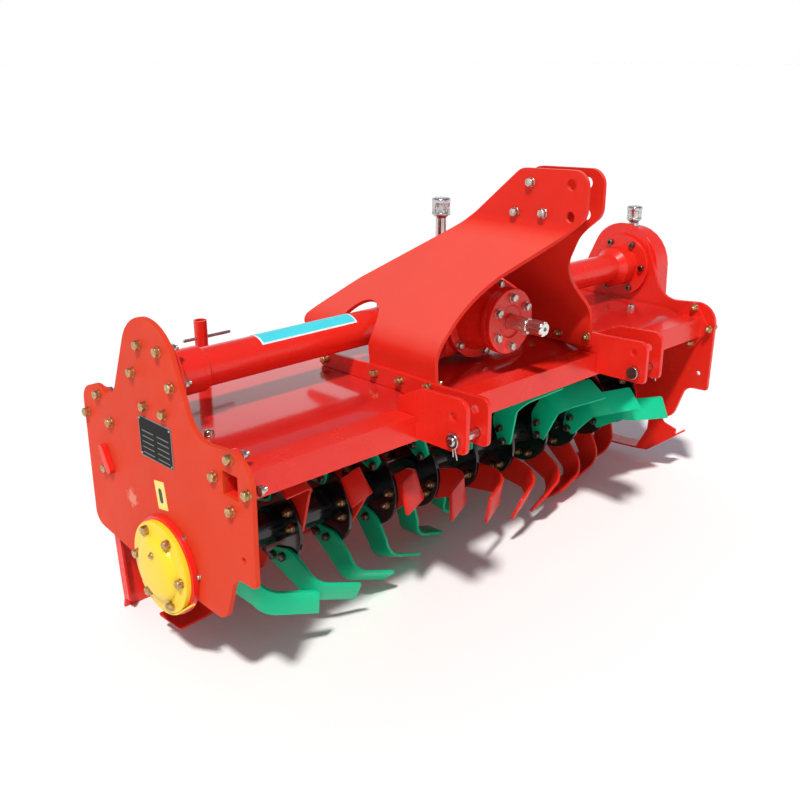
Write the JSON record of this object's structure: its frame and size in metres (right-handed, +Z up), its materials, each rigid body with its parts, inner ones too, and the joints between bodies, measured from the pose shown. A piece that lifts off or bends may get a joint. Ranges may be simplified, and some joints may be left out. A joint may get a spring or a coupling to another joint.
{
  "type": "rotary tiller",
  "caption": "Tractor-mounted rotary tiller: hooded rotor of bent tines with side plates, three-point mast, centre gearbox and trailing board",
  "frame": {"origin": "on the floor under the middle of the machine's bounding box", "axes": "+X along the rotor towards the chain case, -Y towards the tractor, +Z up"},
  "size_m": [1.8462, 0.801, 1.0613],
  "materials": {
    "red_paint": "glossy red enamel",
    "black_paint": "glossy black enamel",
    "green_paint": "glossy green enamel on the tines of one hand",
    "yellow_paint": "satin yellow enamel",
    "bright_steel": "bright plated steel",
    "zinc_bolts": "yellow passivated zinc"
  },
  "bodies": {
    "frame": {"side_plate_left": "red_paint", "side_plate_right": "red_paint", "front_beam": "red_paint", "rear_tube": "red_paint", "cross_tube_left": "red_paint", "cross_tube_right": "red_paint", "gearbox_housing": "red_paint", "gearbox_nose": "red_paint", "input_cap": "red_paint", "gearbox_breather": "bright_steel", "case_breather": "bright_steel", "chain_case": "red_paint", "chain_case_cover": "red_paint", "bearing_ring": "red_paint", "bearing_cover": "yellow_paint", "bearing_housing_left": "red_paint", "bearing_housing_right": "red_paint", "hitch_plate_left_outer": "red_paint", "hitch_plate_left_inner": "red_paint", "hitch_plate_right_inner": "red_paint", "hitch_plate_right_outer": "red_paint", "hitch_pin_left": "bright_steel", "hitch_pin_right": "bright_steel", "mast_left": "red_paint", "mast_right": "red_paint", "hood": "red_paint", "board_sleeve": "red_paint", "board_sleeve_pin": "bright_steel", "gearbox_lid": "red_paint", "gearbox_rear_cover": "red_paint", "cover_strip": "yellow_paint", "plate_lug": "red_paint", "chain_case_skid": "red_paint"},
    "rotor": {"rotor_tube": "black_paint", "rotor_stub_left": "black_paint", "rotor_stub_right": "black_paint", "tine_disc_01": "black_paint", "tine_disc_02": "black_paint", "tine_disc_03": "black_paint", "tine_disc_04": "black_paint", "tine_disc_05": "black_paint", "tine_disc_06": "black_paint", "tine_disc_07": "black_paint", "tine_disc_08": "black_paint", "tine_disc_09": "black_paint", "tine_disc_10": "black_paint", "tine_disc_11": "black_paint"},
    "pto": {"pto_shaft": "bright_steel"},
    "board": {"trailing_board": "red_paint"}
  },
  "joints": [
    {"name": "rotor_spin", "type": "hinge", "parent": "frame", "child": "rotor", "pos_m": [-0.0225, 0.0665, 0.25], "axis": [1, 0, 0], "continuous": true},
    {"name": "pto_spin", "type": "hinge", "parent": "frame", "child": "pto", "pos_m": [-0.0225, -0.2695, 0.681], "axis": [0, 1, 0], "continuous": true},
    {"name": "board_hinge", "type": "hinge", "parent": "frame", "child": "board", "pos_m": [-0.0225, 0.3465, 0.45], "axis": [1, 0, 0], "range_deg": [0, 60]}
  ],
  "couplings": [
    {"joint": "pto_spin", "follows": "rotor_spin", "ratio": -2.4}
  ]
}
